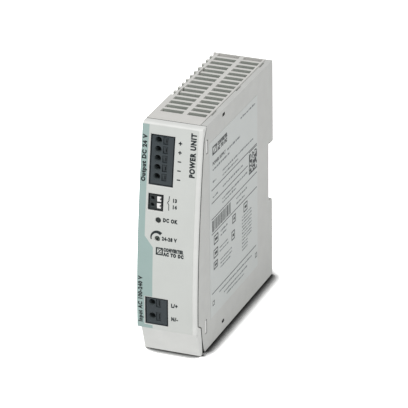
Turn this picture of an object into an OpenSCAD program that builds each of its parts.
// Slim DIN rail power supply, 24 V DC output, push-in terminals on the front.
// Case coordinates: X across the rail, Y from the front (0) to the back, Z up from the bottom face.
// Every node is then moved so that the centre of the rail seat is the origin.

/* [Case] */
// Width of the case along the rail
case_w = 34.5; // [34.5:0.5:36]
// Height of the case
case_h = 130; // [130:1:132]
// Depth of the case at its lower back
case_d = 115; // [115:1:118]
// How far the hook block stands out behind the lower back
hook_out = 1.5; // [1:0.5:2.5]
// Thickness of the housing walls
wall = 1.8; // [1.6:0.1:1.8]
// How far the front leans back at its top
front_lean = 12.5; // [11.5:0.5:12.5]
// Thickness of the front bezel
bezel_t = 1.4; // [1.2:0.1:1.6]
// Groove between the bezel and the side walls
seam_gap = 1.2; // [0.6:0.1:1.2]
// Gap between the housing's top and the cover's flange
flange_gap = 0.3; // [0.2:0.05:0.4]

/* [Rail clip] */
// Height of the rail groove at its floor
groove_h = 35.2; // [35.2:0.1:35.6]
// Depth of the rail groove from the lower back
groove_d = 5.3; // [5.1:0.1:5.5]
// Width of the sliding latch
latch_w = 12; // [10:0.5:14]
// Distance the latch pulls down
latch_travel = 5; // [3:0.5:5]

/* [Vents] */
// Number of vent rows
vent_rows = 15; // [10:1:15]
// Distance from one vent row to the next
vent_pitch = 5.9; // [5.6:0.1:5.9]
// Width of one vent slot
vent_w = 3.7; // [2.5:0.1:3.9]

/* [Terminals] */
// Pole pitch of the output block
out_pitch = 4.9; // [4.8:0.05:5]
// Pole pitch of the signal block
sig_pitch = 3.7; // [3.65:0.05:3.75]
// Pole pitch of the input block
in_pitch = 8; // [7.5:0.1:8]
// Diameter of a power conductor entry
entry_d = 3.8; // [3:0.1:3.8]
// Diameter of a signal conductor entry
sig_entry_d = 2.4; // [2:0.1:2.6]
// Travel of a release button
button_travel = 1.2; // [0.8:0.1:1.4]
// Play round a release button
button_play = 0.15; // [0.1:0.05:0.2]

/* [Hidden] */

half_w = case_w / 2;
bite = 1;                 // how far a cutter runs past what it cuts
round_fn = 48;

// Front profile: upright at the bottom, curving back towards the top
lean_from = 25;
lean_power = 1.65;
function front_y(z) = z <= lean_from ? 0
    : front_lean * pow((z - lean_from) / (case_h - lean_from), lean_power);
face_from = lean_from + 4;
face_top = case_h - 1.4;
face_steps = 20;
function front_line(z0, z1, dy, n) =
    [for (i = [0 : n]) let (z = z0 + (z1 - z0) * i / n) [front_y(z) + dy, z]];
function arc(cy, cz, r, a0, a1, n) =
    [for (i = [0 : n]) let (a = a0 + (a1 - a0) * i / n) [cy + r * cos(a), cz + r * sin(a)]];

// Rail groove and back
rail_z = case_h / 2;
groove_top = rail_z + groove_h / 2;
groove_bot = rail_z - groove_h / 2;
floor_y = case_d - groove_d;
seat_proud = 0.3;
seat_y = floor_y + seat_proud;
seat_w = 26;
seat_h = 27;
hook_y = case_d + hook_out;
back_top_y = case_d + 1;   // the back leans out a little above the rail
lip_y = floor_y + 1.5;
lip_z = groove_top - 1.2;
top_r = 1;
heel_r = 1.5;
foot_chamfer = 1.2;

// Seams between the bezel, the housing and the side cover
side_seam = bezel_t;      // the bezel meets the side walls this far behind its face
chin_z = 19.4;
chin_step_z = 16.6;
chin_step_y = 5.7;
chin_fold_z = 14.7;
chin_foot_y = 4.9;
chin_r = 0.6;
chin_inset = 2.3;         // the chin is set in from the left wall
chin_end = 1.2;
top_seam_y = 16.6;
top_gap = 0.8;            // gap between the bezel's lip and the housing's top
corner_z = case_h - 7;    // above this the side seam runs straight back to the lip's edge
cover_x = half_w - 3.65;  // where the cover's flange meets the housing
inner_x = half_w - wall;

// Latch windows that hold the bezel: [middle height, height, middle depth]
bezel_windows = [[118, 8, 17.2], [14, 8.4, 13.4]];
window_w = 2.4;
flange_window_ys = [35, 71, 106.5];
flange_window_l = 7.4;

// Vents
vent_y0 = 29.6;
vent_cols = [[-13.6, -1.1], [1.5, 12.2]];
wrap_row = 4;
wrap_x = 2.1;
wrap_z = 4.5;
edge_slots = [[53.6, 62.4], [84, 92.4]];   // narrow slots beside the left ends of some rows
edge_slot_x = [-14.1, -13.2];

// Terminal blocks: left edge, width, bottom, height
out_block = [-12.2, 13.8, 96.4, 27.3];
sig_block = [-12, 8.65, 82.6, 9.1];
in_block = [-12.6, 13.2, 17.3, 15.9];
block_sink = 0.35;        // how far a block's face sits behind the bezel's face
block_play = 0.1;
block_rim = 0.3;          // thin rim round a block, with a groove inside it
groove_w = 0.4;
rim_groove_d = 1.2;
foil_margin = 0.4;        // how far the foil is cut back round an opening
out_back = 25;
sig_back = 18.8;
in_back = 22;
out_hole_x = -7.85;
out_button_x = -3.7;
out_mid_z = 110.8;
sig_hole_x = -9.7;
sig_button_x = -5.85;
sig_mid_z = 87.1;
in_hole_x = -8.6;
in_button_x = -5;
in_mid_z = 26.2;
button_w = 2.4;
button_h = 3.6;
in_button_h = 4.6;
sig_button_w = 2.3;
sig_button_h = 2.9;
button_sink = 0.35;
face_wall = 9;            // material between a block's face and its clamp chamber
sig_face_wall = 6.5;
tail_wall = 1.5;
out_zs = [for (i = [0 : 4]) out_mid_z + (2 - i) * out_pitch];
sig_zs = [for (i = [0 : 1]) sig_mid_z + (0.5 - i) * sig_pitch];
in_zs = [for (i = [0 : 1]) in_mid_z + (0.5 - i) * in_pitch];

// Front holes
led_x = -5.85;
led_z = 77.5;
trim_x = -6.05;
trim_z = 67.15;
peep_r = 1.6;
pipe_r = 1.5;
rotor_r = 1.5;
trim_y = 8;
foil_t = 0.2;
foil_left = -half_w + 0.05;
foil_right = half_w - 2.6;
foil_bottom = chin_fold_z + 0.3;
foil_top = face_top;

// Circuit boards
board_x = -13;            // component side of the main board
board_t = 1.6;
board_y0 = 19.5;
board_y1 = 106;
board_z0 = 4;
board_z1 = 126;
control_y = 19;
control_t = 1.2;
pin_r = 0.4;

// Sliding latch and its spring
pocket_y = floor_y + 0.6;
latch_play = 0.2;
latch_wing = 2.2;
latch_wing_t = 1.7;
latch_top = groove_bot + 1.8;
latch_bottom = 0.8;
latch_back = case_d - 0.4;
latch_slot_w = 6.4;
peg_z = 14;
peg_t = 2;
window_z0 = peg_z - 2;
window_z1 = 30;
spring_r = 1.55;
spring_wire = 0.25;
spring_y = pocket_y + 2.1;
spring_z0 = peg_z + peg_t + spring_wire;
spring_z1 = window_z1 - spring_wire - 0.05;
spring_turns = 9;

/* Helpers */

// Moves case coordinates to the rail seat
module at_rail() { translate([0, -seat_y, -rail_z]) children(); }

// Extrudes a Y-Z outline from x0 to x1
module slab(x0, x1) {
    translate([x0, 0, 0]) rotate([90, 0, 90]) linear_extrude(x1 - x0) children();
}

// A box between two corners
module block(a, b) { translate(a) cube(b - a); }

// A round bar along X, Y or Z
module bar_x(p, r, l) { translate(p) rotate([0, 90, 0]) cylinder(r = r, h = l, $fn = round_fn); }
module bar_y(p, r, l) { translate(p) rotate([-90, 0, 0]) cylinder(r = r, h = l, $fn = round_fn); }
module bar_z(p, r, l) { translate(p) cylinder(r = r, h = l, $fn = round_fn); }

// Back edge of the case, from the top down to the bottom
function back_outline() = concat(
    arc(back_top_y - top_r, case_h - top_r, top_r, 90, 2, 6),
    [[hook_y, groove_top + 2], [hook_y, lip_z], [lip_y, lip_z], [lip_y, groove_top],
     [floor_y, groove_top], [floor_y, groove_bot]],
    arc(case_d - heel_r, groove_bot - heel_r, heel_r, 90, 0, 4),
    [[case_d, foot_chamfer], [case_d - foot_chamfer, 0]]);

// Front edge of the side walls, from the bottom up to the top
function seam_outline() = concat(
    [[10.2, 0], [8.6, 2.3], [7, 8.4], [chin_step_y, chin_step_z], [side_seam, chin_z]],
    front_line(chin_z + 1, corner_z, side_seam, 16),
    [[top_seam_y + top_gap - seam_gap, case_h]]);

module case_outline() { polygon(concat(seam_outline(), back_outline())); }

// The hollow inside the walls; it runs out through the front
module hollow_outline() {
    polygon([
        [-5, wall], [-5, case_h - wall], [back_top_y - wall, case_h - wall],
        [hook_y - wall, groove_top + wall + 1], [floor_y - wall, groove_top + wall],
        [floor_y - wall, wall]
    ]);
}

// Everything in front of the seam, kept clear for the bezel
module seam_cut_outline() {
    polygon(concat([[-5, -1], [10.2 + seam_gap, -1]],
        [for (p = seam_outline()) [p[0] + seam_gap, p[1]]],
        [[top_seam_y + top_gap, case_h + 1], [-5, case_h + 1]]));
}

module walls(x0, x1) {
    slab(x0, x1) difference() {
        case_outline();
        hollow_outline();
        seam_cut_outline();
    }
}

module side_plate(x0, x1) {
    slab(x0, x1) difference() {
        case_outline();
        seam_cut_outline();
    }
}

// Housing: left wall, top, bottom and back in one moulding
module vents(z0, z1) {
    for (i = [0 : vent_rows - 1], c = vent_cols)
        block([c[0], vent_y0 + i * vent_pitch - vent_w / 2, z0],
              [c[1], vent_y0 + i * vent_pitch + vent_w / 2, z1]);
}

module edge_vents() {
    for (i = [wrap_row : vent_rows - 1])
        block([-half_w - bite, vent_y0 + i * vent_pitch - vent_w / 2, case_h - wrap_z],
              [-half_w + wrap_x, vent_y0 + i * vent_pitch + vent_w / 2, case_h + bite]);
}

module bezel_window_cuts(x0, x1) {
    for (w = bezel_windows)
        block([x0, w[2] - window_w / 2, w[0] - w[1] / 2], [x1, w[2] + window_w / 2, w[0] + w[1] / 2]);
}

module latch_pocket() {
    neck = latch_w / 2 + latch_play;
    wing = neck + latch_wing;
    block([-neck, pocket_y, -bite], [neck, case_d + bite, groove_bot + bite]);
    block([-wing, pocket_y, -bite],
          [wing, pocket_y + latch_wing_t + 2 * latch_play, groove_bot - 3]);
}

module board_rail(z0, z1) {
    for (x = [board_x - board_t - 0.9, board_x + 0.1])
        block([x, board_y0 + 6, z0], [x + 0.8, board_y1 - 1, z1]);
}

module housing_shell() {
    color([0.84, 0.84, 0.82]) at_rail() {
        difference() {
            union() {
                walls(-half_w, cover_x - flange_gap / 2);
                side_plate(-half_w, -inner_x);
                block([-seat_w / 2, floor_y - 0.5, rail_z - seat_h / 2],
                      [seat_w / 2, seat_y, rail_z + seat_h / 2]);
                board_rail(case_h - wall - 1.6, case_h - wall + 0.2);
                board_rail(wall - 0.2, wall + 1.6);
                for (y = flange_window_ys) {
                    block([cover_x - 2, y - 3, case_h - wall - 1],
                          [cover_x - 0.3, y + 3, case_h - wall + 0.1]);
                    block([cover_x - 0.4, y - 3, case_h - wall - 1],
                          [cover_x + 0.9, y + 3, case_h - wall - 0.1]);
                }
            }
            vents(case_h - wall - bite / 2, case_h + bite);
            vents(-bite, wall + bite / 2);
            edge_vents();
            for (y = edge_slots)
                block([edge_slot_x[0], y[0], case_h - wall - bite / 2],
                      [edge_slot_x[1], y[1], case_h + bite]);
            bezel_window_cuts(-half_w - bite, -inner_x + bite);
            latch_pocket();
        }
        block([-2.2, pocket_y - 0.4, peg_z], [2.2, case_d - 1.2, peg_z + peg_t]);
    }
}

// Side cover: right wall with a flange all round
module side_cover() {
    color([0.72, 0.73, 0.72]) at_rail() difference() {
        union() {
            walls(cover_x + flange_gap / 2, half_w);
            side_plate(inner_x, half_w);
        }
        bezel_window_cuts(inner_x - bite, half_w + bite);
        for (y = flange_window_ys)
            block([cover_x + 0.35, y - flange_window_l / 2, case_h - wall - bite],
                  [cover_x + 1.05, y + flange_window_l / 2, case_h + bite]);
        for (p = [[41.5, case_h - 2.9], [38.5, 5.9]])
            block([inner_x - bite, p[0] - 1.8, p[1] - 0.9], [half_w + bite, p[0] + 1.8, p[1] + 0.9]);
    }
}

// Front bezel: curved front wall, a lip over the top and a chin at the bottom
function bezel_front() = concat(
    [[chin_foot_y + chin_r, 0]],
    arc(chin_foot_y + chin_r, chin_r, chin_r, 250, 200, 4),
    [[0, chin_fold_z], [0, lean_from]],
    front_line(face_from, face_top, 0, face_steps),
    [[front_y(case_h) + 0.35, case_h - 0.6], [front_y(case_h) + 1.3, case_h - 0.15],
     [top_seam_y - 1, case_h]]);

module bezel_outline() {
    polygon(concat(bezel_front(), [[top_seam_y, case_h]],
        [for (i = [16 : -1 : 0]) let (z = chin_z + 1 + (corner_z - chin_z - 1) * i / 16)
            [front_y(z) + side_seam, z]],
        [[side_seam, chin_z], [chin_step_y, chin_step_z], [7, 8.4], [7.6, 2.3], [7.8, 0]]));
}

module opening(b, play) {
    block([b[0] - play, -3, b[2] - play], [b[0] + b[1] + play, 20, b[2] + b[3] + play]);
}

module front_holes(margin) {
    for (b = [out_block, sig_block, in_block]) opening(b, block_play + margin);
    bar_y([led_x, -3, led_z], peep_r + margin / 2, 20);
    bar_y([trim_x, -3, trim_z], peep_r + margin / 2, 20);
}

module bezel_arm(side, w) {
    y0 = max(front_y(w[0] + w[1] / 2) + bezel_t - 0.4, 3.5 - w[0] / 40);
    x_out = inner_x - 0.25;
    x_hook = half_w - 0.1;
    mirror([side < 0 ? 1 : 0, 0, 0]) {
        block([x_out - 1.2, y0, w[0] - w[1] / 2 + 0.5],
              [x_out, w[2] + 1.4, w[0] + w[1] / 2 - 0.5]);
        translate([0, 0, w[0] - w[1] / 2 + 0.5]) linear_extrude(w[1] - 1)
            polygon([[x_out - 0.1, w[2] - 1], [x_hook - 0.2, w[2] - 1],
                     [x_hook, w[2] + 0.7], [x_out - 0.1, w[2] + 1.05]]);
    }
}

// Rib behind the side seam, just inside the side wall
module seam_rib(side) {
    x_out = inner_x - 0.35;
    y_back = side_seam + seam_gap + 1.2;
    mirror([side < 0 ? 1 : 0, 0, 0]) slab(x_out - 0.9, x_out) polygon(concat(
        front_line(chin_z, case_h - wall - 0.4, bezel_t - 0.4, 12),
        [[top_seam_y + top_gap + 0.8, case_h - wall - 0.4]],
        [for (i = [12 : -1 : 0]) let (z = chin_z + (corner_z - chin_z) * i / 12) [front_y(z) + y_back, z]]));
}

module front_bezel() {
    color([0.83, 0.84, 0.82]) at_rail() {
        difference() {
            slab(-half_w, half_w) bezel_outline();
            slab(-half_w + chin_inset + chin_end, inner_x - 0.3) polygon([
                [bezel_t, chin_fold_z + 0.4], [bezel_t, chin_z - 1.2], [12, chin_z - 1.2],
                [12, bezel_t], [chin_foot_y + chin_r + 0.4, bezel_t]]);
            front_holes(0);
            block([-half_w - bite, -bite, -bite], [-half_w + chin_inset, 12, chin_fold_z]);
        }
        for (s = [-1, 1], w = bezel_windows) bezel_arm(s, w);
        for (s = [-1, 1]) seam_rib(s);
    }
}

module front_foil() {
    color([0.8, 0.83, 0.81]) at_rail() difference() {
        slab(foil_left, foil_right)
            polygon(concat([[-foil_t, foil_bottom], [0, foil_bottom], [0, lean_from]],
                front_line(face_from, foil_top, 0, face_steps),
                [for (i = [face_steps : -1 : 0])
                    let (z = face_from + (foil_top - face_from) * i / face_steps) [front_y(z) - foil_t, z]],
                [[-foil_t, lean_from]]));
        front_holes(foil_margin);
    }
}

module side_label() {
    color([0.76, 0.78, 0.77]) at_rail()
        block([half_w, 19.8, 15.6], [half_w + 0.12, 91.5, 118.6]);
}

// Groove just inside the rim of a block, following its curved face
module rim_groove(b) {
    x0 = b[0] + block_rim;
    x1 = b[0] + b[1] - block_rim;
    z0 = b[2] + block_rim;
    z1 = b[2] + b[3] - block_rim;
    sides = [[x0, x0 + groove_w, z0, z1], [x1 - groove_w, x1, z0, z1],
             [x0, x1, z0, z0 + groove_w], [x0, x1, z1 - groove_w, z1]];
    for (s = sides)
        slab(s[0], s[1]) polygon(concat(
            front_line(s[2], s[3], block_sink - bite, 6),
            [for (i = [6 : -1 : 0]) let (z = s[2] + (s[3] - s[2]) * i / 6)
                [front_y(z) + block_sink + rim_groove_d, z]]));
}

// Terminal block body: a wedge with conductor entries, button pockets and clamp chambers
module terminal_body(b, y_back, zs, hole_x, hole_r, push_x, push_w, push_h, skin, room_h) {
    difference() {
        slab(b[0], b[0] + b[1])
            polygon(concat(front_line(b[2], b[2] + b[3], block_sink, 6),
                [[y_back, b[2] + b[3]], [y_back, b[2]]]));
        rim_groove(b);
        for (z = zs) {
            bar_y([hole_x, front_y(z) - 3, z], hole_r, 3 + block_sink + skin + 0.5);
            block([push_x - push_w / 2 - button_play, front_y(z) - 3, z - push_h / 2 - button_play],
                  [push_x + push_w / 2 + button_play, front_y(z) + skin + 1, z + push_h / 2 + button_play]);
            block([hole_x - hole_r - 0.3, front_y(z) + block_sink + skin, z - room_h / 2],
                  [push_x + push_w / 2 + 0.5, y_back - tail_wall, z + room_h / 2]);
            block([hole_x - hole_r - 0.3, y_back - tail_wall - bite, z - 0.6],
                  [hole_x - hole_r + 0.6, y_back + bite, z + 0.6]);
        }
    }
}

module output_terminal_block() {
    color([0.27, 0.3, 0.32]) at_rail()
        terminal_body(out_block, out_back, out_zs, out_hole_x, entry_d / 2,
                      out_button_x, button_w, button_h, face_wall - 2, out_pitch - 1);
}

module signal_terminal_block() {
    color([0.2, 0.22, 0.23]) at_rail()
        terminal_body(sig_block, sig_back, sig_zs, sig_hole_x, sig_entry_d / 2,
                      sig_button_x, sig_button_w, sig_button_h, sig_face_wall, sig_pitch - 0.8);
}

module input_terminal_block() {
    color([0.27, 0.3, 0.32]) at_rail()
        terminal_body(in_block, in_back, in_zs, in_hole_x, entry_d / 2,
                      in_button_x, button_w, in_button_h, face_wall, in_pitch - 2.2);
}

// Release button: a plunger with a narrower nose; the children cut its face
module release_button(x, z, w, h, skin, sink) {
    y0 = front_y(z) + block_sink + sink;
    y1 = front_y(z) + block_sink + skin;
    difference() {
        union() {
            block([x - w / 2, y0, z - h / 2], [x + w / 2, y1 - 2, z + h / 2]);
            block([x - w / 2 + 0.5, y1 - 2.5, z - h / 2 + 0.4], [x + w / 2 - 0.3, y1, z + h / 2 - 0.4]);
        }
        translate([x + w / 2, y0, z]) children();
    }
}

// Screwdriver slot across a dark button's face
module face_slot(h) { block([-1, -bite, 0.7 - h / 2], [-0.45, 0.7, h / 2 - 0.7]); }

// Notch in the right edge of a white button
module edge_notch() {
    translate([0, 3, 0]) rotate([90, 0, 0]) linear_extrude(3 + bite)
        polygon([[bite, -0.75], [bite, 0.75], [-0.1, 0.75], [-0.85, 0.25], [-0.85, -0.25], [-0.1, -0.75]]);
}

module output_button(i) {
    color([0.24, 0.27, 0.29]) at_rail()
        release_button(out_button_x, out_zs[i], button_w, button_h, face_wall - 2, button_sink)
            face_slot(button_h);
}

module signal_button(i) {
    color([0.93, 0.93, 0.92]) at_rail()
        release_button(sig_button_x, sig_zs[i], sig_button_w, sig_button_h, sig_face_wall, 0)
            edge_notch();
}

module input_button(i) {
    color([0.24, 0.27, 0.29]) at_rail()
        release_button(in_button_x, in_zs[i], button_w, in_button_h, face_wall, button_sink)
            face_slot(in_button_h);
}

// Contact: a bar along the chamber's side that ends in a tail behind the block
module contacts(zs, hole_x, hole_r, skin, y_back, h) {
    x0 = hole_x - hole_r - 0.2;
    for (z = zs) {
        block([x0, front_y(z) + block_sink + skin + 0.4, z - h / 2],
              [x0 + 0.6, y_back - tail_wall - 0.2, z + h / 2]);
        block([x0, y_back - tail_wall - 1.2, z - 0.45], [x0 + 0.6, y_back + 1.6, z + 0.45]);
        block([board_x, y_back + 1, z - 0.45], [x0 + 0.6, y_back + 1.6, z + 0.45]);
    }
}

// Clamp spring: a bent strip that presses a wire against its contact
module clamp_springs(zs, hole_x, hole_r, push_x, skin, y_back, h) {
    x0 = hole_x - hole_r + 0.7;
    x1 = push_x + 0.9;
    t = 0.35;
    for (z = zs) {
        y0 = front_y(z) + block_sink + skin + button_travel + 0.7;
        y1 = y_back - tail_wall - 0.5;
        translate([0, 0, z - h / 2]) linear_extrude(h) polygon([
            [x0, y1 - 1], [x1 - 1.2, y0], [x1, y0], [x1, y1], [x0 + 1.4, y1], [x0 + 1.4, y1 - t],
            [x1 - t, y1 - t], [x1 - t, y0 + t], [x1 - 1, y0 + t], [x0 + t, y1 - 1]
        ]);
    }
}

module output_contacts() {
    color([0.82, 0.78, 0.7]) at_rail()
        contacts(out_zs, out_hole_x, entry_d / 2, face_wall - 2, out_back, 3);
}

module output_clamp_springs() {
    color([0.75, 0.76, 0.78]) at_rail()
        clamp_springs(out_zs, out_hole_x, entry_d / 2, out_button_x, face_wall - 2, out_back, 3);
}

module signal_contacts() {
    color([0.82, 0.78, 0.7]) at_rail() {
        x0 = sig_hole_x - sig_entry_d / 2 - 0.2;
        for (z = sig_zs)
            block([x0, front_y(z) + block_sink + sig_face_wall + 0.4, z - 0.5],
                  [x0 + 0.5, control_y + control_t + 1, z + 0.5]);
    }
}

module signal_clamp_springs() {
    color([0.75, 0.76, 0.78]) at_rail()
        clamp_springs(sig_zs, sig_hole_x, sig_entry_d / 2, sig_button_x, sig_face_wall, sig_back, 2.2);
}

module input_contacts() {
    color([0.82, 0.78, 0.7]) at_rail()
        contacts(in_zs, in_hole_x, entry_d / 2, face_wall, in_back, 4);
}

module input_clamp_springs() {
    color([0.75, 0.76, 0.78]) at_rail()
        clamp_springs(in_zs, in_hole_x, entry_d / 2, in_button_x, face_wall, in_back, 4);
}

// Status lamp and voltage trimmer behind the front
module led_light_pipe() {
    color([0.9, 0.95, 0.9, 0.6]) at_rail() {
        bar_y([led_x, front_y(led_z) + 0.3, led_z], pipe_r, control_y - 1.1 - front_y(led_z) - 0.3);
        bar_y([led_x, front_y(led_z) + bezel_t + 0.8, led_z], pipe_r + 0.9, 1.2);
    }
}

module status_led() {
    color([0.85, 0.9, 0.8]) at_rail() {
        block([led_x - 1.75, control_y - 0.6, led_z - 1.4], [led_x + 1.75, control_y, led_z + 1.4]);
        bar_y([led_x, control_y - 1, led_z], 1.1, 0.5);
    }
}

module trimmer_body() {
    color([0.2, 0.35, 0.65]) at_rail() difference() {
        union() {
            block([trim_x - 3.3, trim_y, trim_z - 3.3], [trim_x + 3.3, control_y, trim_z + 3.3]);
            bar_y([trim_x, trim_y - 1, trim_z], 2.6, 1.5);
        }
        bar_y([trim_x, trim_y - 2, trim_z], rotor_r + 0.08, 8);
    }
}

module trimmer_rotor() {
    color([0.9, 0.9, 0.88]) at_rail() difference() {
        bar_y([trim_x, front_y(trim_z) + bezel_t + 0.4, trim_z], rotor_r,
              trim_y + 5.8 - front_y(trim_z) - bezel_t - 0.4);
        translate([trim_x, front_y(trim_z) + bezel_t, trim_z]) rotate([0, 30, 0])
            block([-0.3, -1, -2], [0.3, 1.5, 2]);
    }
}

// Boards
module main_circuit_board() {
    color([0.12, 0.36, 0.22]) at_rail() difference() {
        block([board_x - board_t, board_y0, board_z0], [board_x, board_y1, board_z1]);
        for (p = [[board_y0 + 2.6, 52], [board_y1 - 3, 8], [board_y1 - 3, 122]])
            bar_x([board_x - board_t - bite, p[0], p[1]], 1.6, board_t + 2 * bite);
        block([board_x - board_t - bite, 44, 81], [board_x + bite, 56, 82.4]);
    }
}

module control_circuit_board() {
    color([0.12, 0.36, 0.22]) at_rail() difference() {
        block([board_x + 0.3, control_y, 57], [11, control_y + control_t, 94]);
        for (z = sig_zs)
            block([sig_hole_x - sig_entry_d / 2 - 0.3, control_y - bite, z - 0.6],
                  [sig_hole_x - sig_entry_d / 2 + 0.4, control_y + control_t + bite, z + 0.6]);
    }
}

module board_connector() {
    color([0.12, 0.12, 0.13]) at_rail() {
        block([board_x, control_y + control_t, 58.5], [board_x + 2.5, control_y + control_t + 5, 74]);
        for (i = [0 : 5])
            block([board_x + 2.4, control_y + control_t + 2, 60 + i * 2.54],
                  [board_x + 5, control_y + control_t + 2.6, 60.6 + i * 2.54]);
    }
}

module insulating_sheet() {
    color([0.85, 0.82, 0.7]) at_rail()
        block([-inner_x + 0.05, board_y0 + 2, board_z0 + 2], [-inner_x + 0.35, board_y1 - 2, board_z1 - 2]);
}

// Mains input parts
fuse_y = 30;
fuse_x = board_x + 3.6;
module fuse() {
    color([0.85, 0.83, 0.76]) at_rail() {
        bar_z([fuse_x, fuse_y, 11], 2.5, 20);
        for (z = [10.6, 26.4]) bar_z([fuse_x, fuse_y, z], 2.65, 5);
    }
}

module fuse_clips() {
    color([0.8, 0.8, 0.78]) at_rail() for (z = [11.3, 27.1]) {
        difference() {
            block([board_x, fuse_y - 3.2, z], [fuse_x + 1.6, fuse_y + 3.2, z + 3.6]);
            bar_z([fuse_x, fuse_y, z - bite], 2.68, 6);
            block([fuse_x, fuse_y - 2.2, z - bite], [fuse_x + 4, fuse_y + 2.2, z + 6]);
            block([board_x + 0.8, fuse_y - 2.5, z - bite], [fuse_x, fuse_y + 2.5, z + 6]);
        }
    }
}

// A disc part standing on two leads
module disc_part(y, z, r, t) {
    difference() {
        bar_y([board_x + r + 1.5, y, z], r, t);
        block([board_x, y - bite, z - r], [board_x + 1.6, y + t + bite, z + r]);
    }
    for (s = [-1, 1]) bar_x([board_x, y + t / 2, z + s * 2.5], pin_r, r);
}

module varistor() { color([0.15, 0.35, 0.7]) at_rail() disc_part(38, 13.5, 6, 4.5); }
module inrush_thermistor() { color([0.2, 0.25, 0.22]) at_rail() disc_part(38, 30, 5.5, 4); }

module x_capacitor() {
    color([0.85, 0.7, 0.2]) at_rail() {
        block([board_x + 0.6, 46, 8], [board_x + 14, 54.5, 26]);
        for (z = [10.5, 23.5]) bar_x([board_x, 50.2, z], pin_r, 1);
    }
}

module y_capacitors() {
    color([0.2, 0.45, 0.75]) at_rail() {
        disc_part(46.5, 33.5, 4, 3);
        disc_part(51.5, 33.5, 4, 3);
    }
}

// A ring core lying on the board and windings wrapped round it
module ring(y, z, r_in, r_out, x0, x1) {
    translate([x0, y, z]) rotate([0, 90, 0]) difference() {
        cylinder(r = r_out, h = x1 - x0, $fn = round_fn);
        translate([0, 0, -bite]) cylinder(r = r_in, h = x1 - x0 + 2 * bite, $fn = round_fn);
    }
}

module ring_winding(y, z, r_in, r_out, x0, x1, t, a0, a1) {
    translate([x0, y, z]) rotate([0, 90, 0]) rotate([0, 0, a0])
        rotate_extrude(angle = a1 - a0, $fn = round_fn) difference() {
            translate([r_in - t, -t]) square([r_out - r_in + 2 * t, x1 - x0 + 2 * t]);
            translate([r_in - 0.05, -0.05]) square([r_out - r_in + 0.1, x1 - x0 + 0.1]);
        }
}

mc = [68.5, 20];
module mains_choke_core() {
    color([0.2, 0.2, 0.21]) at_rail() ring(mc[0], mc[1], 5.5, 10, board_x + 2.4, board_x + 10.4);
}

module mains_choke_windings() {
    color([0.72, 0.4, 0.2]) at_rail() {
        for (a = [20, 200])
            ring_winding(mc[0], mc[1], 5.5, 10, board_x + 2.4, board_x + 10.4, 1.2, a, a + 140);
        for (sy = [-1, 1], sz = [-1, 1])
            bar_x([board_x, mc[0] + sy * 8, mc[1] + sz * 4.5], 0.5, 1.6);
    }
}

module bridge_rectifier() {
    color([0.12, 0.12, 0.13]) at_rail() {
        block([board_x + 2, 83.5, 6.5], [board_x + 13, 87, 21.5]);
        for (i = [0 : 3]) block([board_x, 84.9, 8 + i * 3.7], [board_x + 2.4, 85.6, 8.9 + i * 3.7]);
    }
}

// A can capacitor standing on the board
module can_capacitor(y, z, r, h) {
    bar_x([board_x + 0.5, y, z], r, h);
    bar_x([board_x, y, z], r - 0.5, 1);
    bar_x([board_x + h, y, z], r - 0.6, 0.7);
}

module bulk_capacitors() {
    color([0.13, 0.14, 0.18]) at_rail() for (z = [13.5, 31]) can_capacitor(97, z, 8, 25);
}

// Heatsinks and power semiconductors
module heatsink(y, z0, z1) {
    block([board_x, y, z0 + 3], [board_x + 3, y + 2, z0 + 5]);
    block([board_x, y, z1 - 5], [board_x + 3, y + 2, z1 - 3]);
    block([board_x + 2.5, y, z0], [13.5, y + 2, z1]);
}

module power_transistor(y0, z, s) {
    tab = 1.3;
    body = 4.4;
    y_tab = s > 0 ? y0 : y0 - tab;
    y_body = s > 0 ? y0 : y0 - body;
    difference() {
        union() {
            block([board_x + 4, y_body, z - 5], [board_x + 13, y_body + body, z + 5]);
            block([board_x + 4, y_tab, z - 5], [board_x + 19, y_tab + tab, z + 5]);
        }
        bar_y([board_x + 16, y0 - 6, z], 1.55, 12);
    }
    for (i = [-1 : 1])
        block([board_x, y_body + body / 2 - 0.3, z + i * 2.54 - 0.4],
              [board_x + 4.5, y_body + body / 2 + 0.3, z + i * 2.54 + 0.4]);
}

prim_y = 81;
prim_z = 47;
sec_y = 44;
sec_zs = [93, 108];
module primary_heatsink() {
    color([0.8, 0.81, 0.82]) at_rail() difference() {
        heatsink(prim_y, 28, 66);
        bar_y([board_x + 16, prim_y - bite, prim_z], 1.3, 4);
    }
}

module primary_transistor() { color([0.12, 0.12, 0.13]) at_rail() power_transistor(prim_y + 2, prim_z, 1); }

module secondary_heatsink() {
    color([0.8, 0.81, 0.82]) at_rail() difference() {
        heatsink(sec_y, 84, 122);
        for (z = sec_zs) bar_y([board_x + 16, sec_y - bite, z], 1.3, 4);
    }
}

module rectifier_transistors() {
    color([0.12, 0.12, 0.13]) at_rail() for (z = sec_zs) power_transistor(sec_y + 2, z, 1);
}

module screw(y, z) {
    difference() {
        union() {
            bar_y([board_x + 16, y - 4, z], 1.25, 4.6);
            bar_y([board_x + 16, y, z], 2.8, 1.8);
        }
        block([board_x + 13.5, y + 1, z - 0.35], [board_x + 18.5, y + 3, z + 0.35]);
        block([board_x + 15.65, y + 1, z - 2.5], [board_x + 16.35, y + 3, z + 2.5]);
    }
}

module heatsink_screws() {
    color([0.7, 0.7, 0.72]) at_rail() {
        screw(prim_y + 3.35, prim_z);
        for (z = sec_zs) screw(sec_y + 3.35, z);
    }
}

// Transformer: ferrite core, bobbin and winding
tf_y = 63;
tf_z = 54;
leg = 9;
module transformer_core() {
    color([0.22, 0.22, 0.23]) at_rail() difference() {
        block([-7, tf_y - 13, tf_z - 15], [5, tf_y + 13, tf_z + 15]);
        for (s = [-1, 1])
            block([-8, tf_y + s * (leg / 2 + 2.1) - 2.1, tf_z - 10.5],
                  [6, tf_y + s * (leg / 2 + 2.1) + 2.1, tf_z + 10.5]);
    }
}

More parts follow.
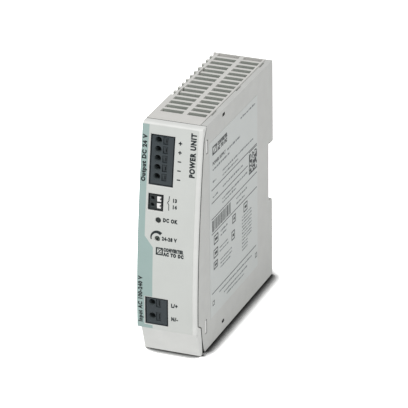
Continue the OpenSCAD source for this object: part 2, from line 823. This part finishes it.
module tube(x0, x1, hy, z0, z1, t) {
    difference() {
        block([x0, tf_y - hy, z0], [x1, tf_y + hy, z1]);
        block([x0 + t, tf_y - hy + t, z0 - bite], [x1 - t, tf_y + hy - t, z1 + bite]);
    }
}

module transformer_bobbin() {
    color([0.15, 0.15, 0.16]) at_rail() {
        tube(-7.9, 5.9, leg / 2 + 0.9, tf_z - 10.3, tf_z + 10.3, 0.8);
        for (z = [tf_z - 10.3, tf_z + 9.1]) {
            difference() {
                block([-11.6, tf_y - leg / 2 - 4, z], [9, tf_y + leg / 2 + 4, z + 1.2]);
                block([-7.6, tf_y - leg / 2 - 0.2, z - bite], [5.6, tf_y + leg / 2 + 0.2, z + 2 * bite]);
            }
            for (i = [-3 : 3]) bar_x([board_x, tf_y + i * 2.5, z + 0.6], pin_r, 1.6);
        }
    }
}

module transformer_winding() {
    color([0.85, 0.75, 0.25]) at_rail() difference() {
        block([-10.8, tf_y - leg / 2 - 3.8, tf_z - 9], [8.4, tf_y + leg / 2 + 3.8, tf_z + 9]);
        block([-7.95, tf_y - leg / 2 - 0.95, tf_z - 12], [5.95, tf_y + leg / 2 + 0.95, tf_z + 12]);
    }
}

// Output side parts
module output_capacitors() {
    color([0.1, 0.22, 0.2]) at_rail() {
        for (y = [62, 73.5, 85, 96.5]) can_capacitor(y, 80, 5, 20);
        for (y = [62, 75.5]) can_capacitor(y, 104, 6.25, 24);
    }
}

oc = [95, 103];
module output_choke_core() {
    color([0.75, 0.7, 0.3]) at_rail() ring(oc[0], oc[1], 4.5, 8.5, board_x + 2.4, board_x + 11.4);
}

module output_choke_winding() {
    color([0.72, 0.4, 0.2]) at_rail() {
        ring_winding(oc[0], oc[1], 4.5, 8.5, board_x + 2.4, board_x + 11.4, 1.3, 20, 340);
        for (s = [-1, 1]) bar_x([board_x, oc[0] + s * 3, oc[1] + 9], 0.6, 2);
    }
}

module signal_relay() {
    color([0.9, 0.88, 0.82]) at_rail() {
        block([-4, control_y + control_t + 0.2, 78], [6, control_y + control_t + 9, 92]);
        for (x = [-2.8, 4.8], z = [79.5, 82.5, 87.5, 90.5])
            bar_y([x, control_y + control_t, z], pin_r, 0.4);
    }
}

module optocouplers() {
    color([0.13, 0.13, 0.14]) at_rail() for (y = [46, 56]) {
        block([board_x + 0.3, y - 2.3, 70], [board_x + 3.8, y + 2.3, 74.6]);
        for (dy = [-1.27, 1.27], z = [69.2, 74.4])
            block([board_x, y + dy - 0.3, z], [board_x + 1.6, y + dy + 0.3, z + 1]);
    }
}

module control_ics() {
    color([0.1, 0.1, 0.11]) at_rail() {
        for (p = [[34, 46], [36, 66]]) {
            block([board_x + 0.2, p[0] - 2, p[1] - 2.5], [board_x + 1.7, p[0] + 2, p[1] + 2.5]);
            for (s = [-1, 1], i = [-1.5 : 1 : 1.5])
                block([board_x, p[0] + s * 2.6 - 0.6, p[1] + i * 1.27 - 0.2],
                      [board_x + 0.5, p[0] + s * 2.6 + 0.6, p[1] + i * 1.27 + 0.2]);
        }
    }
}

// Sliding latch at the lower back: a nose behind the rail and a screwdriver eye at the foot
module rail_latch() {
    neck = latch_w / 2;
    y0 = pocket_y + latch_play;
    nose_y = lip_y;
    color([0.8, 0.8, 0.78]) at_rail() difference() {
        union() {
            slab(-neck, neck) polygon([
                [y0, latch_bottom], [latch_back - 1.2, latch_bottom], [latch_back, latch_bottom + 1.2],
                [latch_back, groove_bot - 2], [nose_y + 1, latch_top], [nose_y, latch_top],
                [nose_y, groove_bot - 0.6], [y0, groove_bot - 0.6]
            ]);
            block([-neck - latch_wing, y0, latch_bottom],
                  [neck + latch_wing, y0 + latch_wing_t, groove_bot - 3.4]);
        }
        block([-latch_slot_w / 2, y0 - bite, window_z0],
              [latch_slot_w / 2, latch_back + bite, window_z1]);
        block([-3, y0 - bite, 4], [3, latch_back + bite, 6.4]);
        for (i = [0 : 3])
            block([-neck + 1.5, latch_back - 0.5, 34 + i * 2.4],
                  [neck - 1.5, latch_back + bite, 35.2 + i * 2.4]);
    }
}

// Round-wire compression spring between the housing's peg and the latch
spring_sides = 8;
spring_steps = spring_turns * 16;
function spring_centre(t) = [spring_r * cos(360 * spring_turns * t),
    spring_r * sin(360 * spring_turns * t), spring_z0 + (spring_z1 - spring_z0) * t];
function spring_ring(t) = let (c = spring_centre(t), a = 360 * spring_turns * t)
    [for (k = [0 : spring_sides - 1]) let (b = 360 * k / spring_sides)
        c + spring_wire * [cos(b) * cos(a), cos(b) * sin(a), sin(b)]];

module latch_spring() {
    pts = [for (i = [0 : spring_steps], p = spring_ring(i / spring_steps)) p];
    n = spring_sides;
    faces = concat(
        [[for (k = [0 : n - 1]) k]],
        [[for (k = [n - 1 : -1 : 0]) spring_steps * n + k]],
        [for (i = [0 : spring_steps - 1], k = [0 : n - 1])
            [i * n + k, (i + 1) * n + k, (i + 1) * n + (k + 1) % n, i * n + (k + 1) % n]]);
    color([0.7, 0.7, 0.72]) at_rail() translate([0, spring_y, 0]) polyhedron(pts, faces);
}

housing_shell();
side_cover();
front_bezel();
front_foil();
side_label();
output_terminal_block();
signal_terminal_block();
input_terminal_block();
output_button(0);  // release_button_output_1
output_button(1);  // release_button_output_2
output_button(2);  // release_button_output_3
output_button(3);  // release_button_output_4
output_button(4);  // release_button_output_5
signal_button(0);  // release_button_signal_13
signal_button(1);  // release_button_signal_14
input_button(0);  // release_button_input_line
input_button(1);  // release_button_input_neutral
output_contacts();
output_clamp_springs();
signal_contacts();
signal_clamp_springs();
input_contacts();
input_clamp_springs();
led_light_pipe();
status_led();
trimmer_body();
trimmer_rotor();
main_circuit_board();
control_circuit_board();
board_connector();
insulating_sheet();
fuse();
fuse_clips();
varistor();
inrush_thermistor();
x_capacitor();
y_capacitors();
mains_choke_core();
mains_choke_windings();
bridge_rectifier();
bulk_capacitors();
primary_heatsink();
primary_transistor();
transformer_core();
transformer_bobbin();
transformer_winding();
secondary_heatsink();
rectifier_transistors();
heatsink_screws();
output_capacitors();
output_choke_core();
output_choke_winding();
signal_relay();
optocouplers();
control_ics();
rail_latch();
latch_spring();
